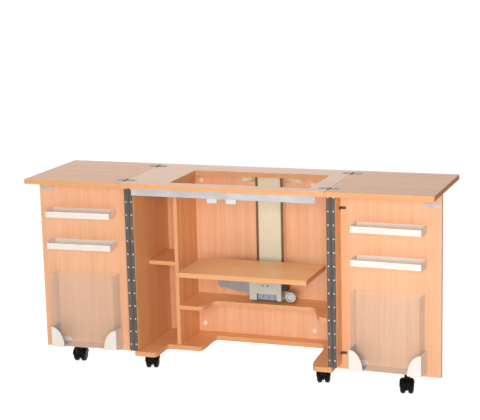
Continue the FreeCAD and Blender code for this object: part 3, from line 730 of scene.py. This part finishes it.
def screw_tree():
    """A tree that puts a screw on each point, looking along the point's way and as large as its size."""
    tree = bpy.data.node_groups.new("screws", "GeometryNodeTree")
    for name, way, kind in (("Points", "INPUT", "NodeSocketGeometry"), ("Screw", "INPUT", "NodeSocketObject"),
                            ("Finish", "INPUT", "NodeSocketMaterial"), ("Seed", "INPUT", "NodeSocketInt"),
                            ("Geometry", "OUTPUT", "NodeSocketGeometry")):
        tree.interface.new_socket(name=name, in_out=way, socket_type=kind)
    make = tree.nodes.new
    given, out = make("NodeGroupInput"), make("NodeGroupOutput")
    way, size = make("GeometryNodeInputNamedAttribute"), make("GeometryNodeInputNamedAttribute")
    way.data_type = "FLOAT_VECTOR"
    way.inputs["Name"].default_value = "way"
    size.inputs["Name"].default_value = "size"
    chance = make("FunctionNodeRandomValue")
    chance.inputs[3].default_value = quarter_turn
    spin = make("FunctionNodeAxisAngleToRotation")
    spin.inputs["Axis"].default_value = (0, 0, 1)
    aim = make("FunctionNodeAlignRotationToVector")
    aim.axis = "Z"
    turn = make("FunctionNodeRotateRotation")
    turn.rotation_space = "LOCAL"
    screw, place = make("GeometryNodeObjectInfo"), make("GeometryNodeInstanceOnPoints")
    real, finish = make("GeometryNodeRealizeInstances"), make("GeometryNodeSetMaterial")
    for source, target in (
            (given.outputs["Seed"], chance.inputs["Seed"]),
            (chance.outputs[1], spin.inputs["Angle"]),
            (way.outputs["Attribute"], aim.inputs["Vector"]),
            (aim.outputs["Rotation"], turn.inputs["Rotation"]),
            (spin.outputs["Rotation"], turn.inputs["Rotate By"]),
            (given.outputs["Screw"], screw.inputs["Object"]),
            (given.outputs["Points"], place.inputs["Points"]),
            (screw.outputs["Geometry"], place.inputs["Instance"]),
            (turn.outputs["Rotation"], place.inputs["Rotation"]),
            (size.outputs["Attribute"], place.inputs["Scale"]),
            (place.outputs["Instances"], real.inputs["Geometry"]),
            (real.outputs["Geometry"], finish.inputs["Geometry"]),
            (given.outputs["Finish"], finish.inputs["Material"]),
            (finish.outputs["Geometry"], out.inputs["Geometry"])):
        tree.links.new(source, target)
    return tree


tree_of_screws = screw_tree()
print("screw tree:", len(tree_of_screws.nodes), "nodes")

# %% Screws at their places


def grown(tree, points, attributes, values):
    """The plain mesh that a tree gives on these points, with its inputs set by their identifiers."""
    mesh = bpy.data.meshes.new("points")
    mesh.from_pydata(points, [], [])
    for name, kind, field, data in attributes:
        mesh.attributes.new(name, kind, "POINT").data.foreach_set(field, data)
    holder = bpy.data.objects.new("points", mesh)
    scene.collection.objects.link(holder)
    modifier = holder.modifiers.new("grow", "NODES")
    modifier.node_group = tree
    for item in tree.interface.items_tree:
        if item.name in values:
            modifier[item.identifier] = values[item.name]
    bpy.context.view_layer.update()
    result = bpy.data.meshes.new_from_object(holder.evaluated_get(bpy.context.evaluated_depsgraph_get()))
    bpy.data.objects.remove(holder)
    return result


screw = cross_screw()
scene.collection.objects.link(screw)
for seed, (name, places) in enumerate(places_of.items()):
    mesh = grown(tree_of_screws, [spot for spot, way, size in places],
                 [("way", "FLOAT_VECTOR", "vector", [c for spot, way, size in places for c in way]),
                  ("size", "FLOAT", "value", [size for spot, way, size in places])],
                 {"Screw": screw, "Finish": screw_steel, "Seed": seed})
    stand_for(name, mesh, screw_steel)
bpy.data.objects.remove(screw)
print("screws placed on", len(places_of), "nodes")

# %% [markdown]
# ## Castors and knob
# Each castor is a black hood over two wheels with dished hub caps. The knob of the lift has a dished face
# and a groove round its rim. Caps and knob are profiles turned about an axle. The wheels' joints give the
# axles of the caps, and the box of the knob's solid gives the knob's. A Screw modifier could turn a profile,
# but rings of points are as quick and need no merging at the middle.

# %% Turned shapes
turn_sides = 48
hub_profile = [(0.0000, 0.0008), (0.0036, 0.0008), (0.0042, 0.0002), (0.0130, 0.0002), (0.0138, 0.0008),
               (0.0174, 0.0008), (0.0182, 0.0000)]
knob_profile = [(0.0000, 0.0280), (0.0120, 0.0280), (0.0140, 0.0300), (0.0195, 0.0300), (0.0215, 0.0292),
                (0.0224, 0.0272), (0.0224, 0.0210), (0.0214, 0.0200), (0.0214, 0.0170), (0.0224, 0.0160),
                (0.0224, 0.0026), (0.0214, 0.0008), (0.0195, 0.0000), (0.0050, 0.0000), (0.0050, -0.0165),
                (0.0000, -0.0165)]


def turned(profile, centre, way):
    """A mesh turned from a profile of radius and height, about way through the centre."""
    stand = way.to_track_quat("Z", "Y").to_matrix()
    n = turn_sides
    points, rings, faces = [], [], []
    for radius, height in profile:
        count = n if radius else 1
        rings.append([len(points) + i for i in range(count)])
        for i in range(count):
            a = 2 * math.pi * i / n
            points.append(centre + stand @ Vector((radius * math.cos(a), radius * math.sin(a), height)))
    for a, b in zip(rings, rings[1:]):
        for i in range(n):
            j = (i + 1) % n
            corners = [a[i % len(a)], b[i % len(b)], b[j % len(b)], a[j % len(a)]]
            faces.append(tuple(dict.fromkeys(corners)))
    mesh = bpy.data.meshes.new("turned")
    mesh.from_pydata(points, [], faces)
    return mesh


def joined(meshes):
    """One mesh from several."""
    bm = bmesh.new()
    for mesh in meshes:
        bm.from_mesh(mesh)
        bpy.data.meshes.remove(mesh)
    whole = bpy.data.meshes.new("joined")
    bm.to_mesh(whole)
    bm.free()
    return whole


print("points in the profiles:", len(hub_profile), "and", len(knob_profile))

# %% Castors and knob
castor_places = ("front_left", "front_right", "rear_left", "rear_right", "left_door", "right_door")
joint_named = {j["name"]: j for j in frame["joints"]}
wheel_half = 0.0249
castor_crease = 35
turned_crease = 30
knob_deep = 0.030
hood_round = 0.0005
for place in castor_places:
    for name in (place + "_castor_hood", place + "_castor_wheels"):
        stand_for(name, rounded_copy(name, hood_round), black_plastic, castor_crease)
    roll = joint_named[place + "_wheel_roll"]
    axle = Vector(roll["axis"]).normalized()
    centre = Vector(roll["pos_m"])
    caps = joined([turned(hub_profile, centre + s * wheel_half * axle, s * axle) for s in (-1, 1)])
    add_piece(place + "_hub_caps", caps, black_plastic, place + "_wheels", turned_crease)
knob_low, knob_high = [Vector(c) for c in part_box("lift_lock_knob")]
knob_axis = (knob_low + knob_high) / 2
knob_axis.y = knob_low.y + knob_deep
stand_for("lift_lock_knob", turned(knob_profile, knob_axis, Vector((0, -1, 0))), knob_metal, turned_crease)
print("castors:", len(castor_places), "hub caps:", 2 * len(castor_places))
